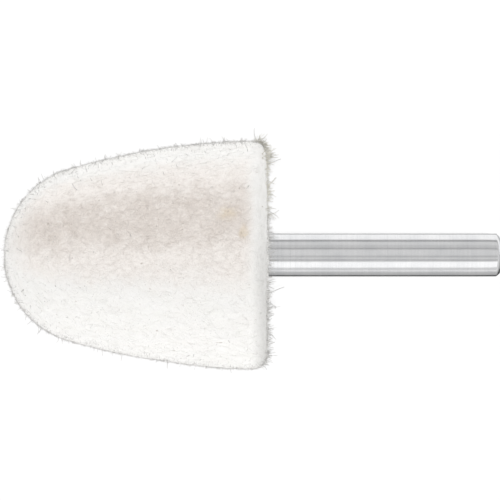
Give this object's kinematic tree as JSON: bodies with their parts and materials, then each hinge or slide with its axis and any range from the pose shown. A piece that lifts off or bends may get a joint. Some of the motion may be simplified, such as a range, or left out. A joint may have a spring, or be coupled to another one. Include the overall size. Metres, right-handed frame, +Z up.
{
  "type": "felt polishing wheel",
  "caption": "Bullet-shaped pressed wool felt polishing head glued on a plain round steel shank, for lapidary and fine metal polishing.",
  "frame": {"origin": "on the spin axis, in the plane of the head's back face, where the shank leaves the felt", "axes": "+X along the spin axis towards the free end of the shank, +Z up"},
  "size_m": [0.069, 0.0316, 0.0316],
  "materials": {
    "felt": "matt, fibrous pressed wool",
    "steel": "bright, fine ground",
    "adhesive": "cured resin glue"
  },
  "bodies": {
    "root": {"felt_head": "felt", "steel_shank": "steel", "adhesive_bond": "adhesive"}
  },
  "joints": []
}
